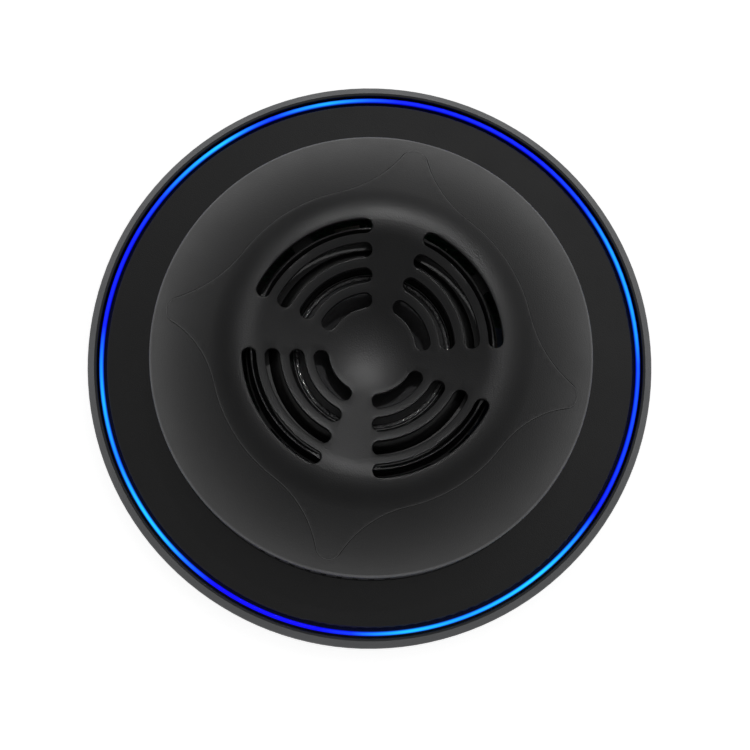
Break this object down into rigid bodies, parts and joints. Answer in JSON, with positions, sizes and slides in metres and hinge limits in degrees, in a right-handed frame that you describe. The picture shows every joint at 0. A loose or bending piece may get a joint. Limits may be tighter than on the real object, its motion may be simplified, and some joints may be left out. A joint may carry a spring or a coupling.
{
  "type": "air quality monitor",
  "caption": "Round black wall or ceiling air quality monitor with a blue light ring, slotted dome over a speaker, and a twist-lock mounting plate.",
  "frame": {"origin": "centre of the mounting plate's back face", "axes": "+Z out of the monitor's face along its axis, +X towards one point of the star-shaped cover"},
  "size_m": [0.18, 0.18, 0.0609],
  "materials": {
    "black_shell": "satin",
    "black_plastic_back": "matte",
    "light_guide": "satin",
    "circuit_board": "satin",
    "led_package": "satin",
    "ribbon_white": "satin",
    "screw_steel": "satin",
    "jack_plastic": "satin",
    "gold_contact": "polished",
    "ferrite": "matte",
    "capacitor_can": "satin",
    "tin_can": "satin",
    "chip_black": "matte",
    "sensor_white": "satin",
    "membrane": "matte",
    "sensor_blue": "satin",
    "brass_barrel": "satin",
    "basket_steel": "satin",
    "foam_black": "matte",
    "surround_rubber": "satin",
    "spider_cloth": "matte",
    "plated_steel": "satin",
    "lead_red": "satin",
    "cone_paper": "matte",
    "copper_coil": "satin",
    "fan_black": "satin"
  },
  "bodies": {
    "mount": {"mounting_plate": "black_plastic_back"},
    "monitor": {"rear_housing": "black_shell", "housing_screws": "screw_steel", "light_ring": "light_guide", "led_ring_board": "circuit_board", "ring_leds": "led_package", "light_ring_ribbon": "ribbon_white", "front_bezel": "black_shell", "dome_shell": "black_shell", "grille_cover": "black_shell", "grille_screws": "screw_steel", "main_board": "circuit_board", "board_screws": "screw_steel", "network_jack": "jack_plastic", "jack_contacts": "gold_contact", "power_transformer": "ferrite", "capacitors": "capacitor_can", "processor_shield": "tin_can", "processor": "chip_black", "co2_sensor": "sensor_white", "co2_membrane": "membrane", "gas_sensor": "tin_can", "humidity_sensor": "circuit_board", "microphones": "tin_can", "particle_sensor_base": "sensor_blue", "particle_sensor_lid": "sensor_blue", "laser_diode": "brass_barrel", "reset_switch": "tin_can", "speaker_basket": "basket_steel", "speaker_screws": "screw_steel", "speaker_gasket": "foam_black", "surround": "surround_rubber", "spider": "spider_cloth", "top_plate": "plated_steel", "magnet": "ferrite", "back_plate": "plated_steel", "speaker_terminal": "jack_plastic", "speaker_leads": "lead_red", "speaker_socket": "ribbon_white"},
    "cone": {"speaker_cone": "cone_paper", "dust_cap": "cone_paper", "voice_coil": "copper_coil"},
    "fan": {"particle_fan": "fan_black"},
    "button": {"reset_button": "jack_plastic"}
  },
  "joints": [
    {"name": "twist_lock", "type": "hinge", "parent": "mount", "child": "monitor", "pos_m": [0, 0, 0.003], "axis": [0, 0, 1], "range_deg": [0, 16]},
    {"name": "cone_travel", "type": "slide", "parent": "monitor", "child": "cone", "axis": [0, 0, 1], "range_m": [-0.001, 0.001], "stiffness_N_per_m": 1200},
    {"name": "fan_spin", "type": "hinge", "parent": "monitor", "child": "fan", "pos_m": [0.051, 0.005, 0.028], "axis": [0, 0, 1], "continuous": true},
    {"name": "reset_press", "type": "slide", "parent": "monitor", "child": "button", "axis": [0, 0, 1], "range_m": [0, 0.0005], "stiffness_N_per_m": 1500}
  ]
}
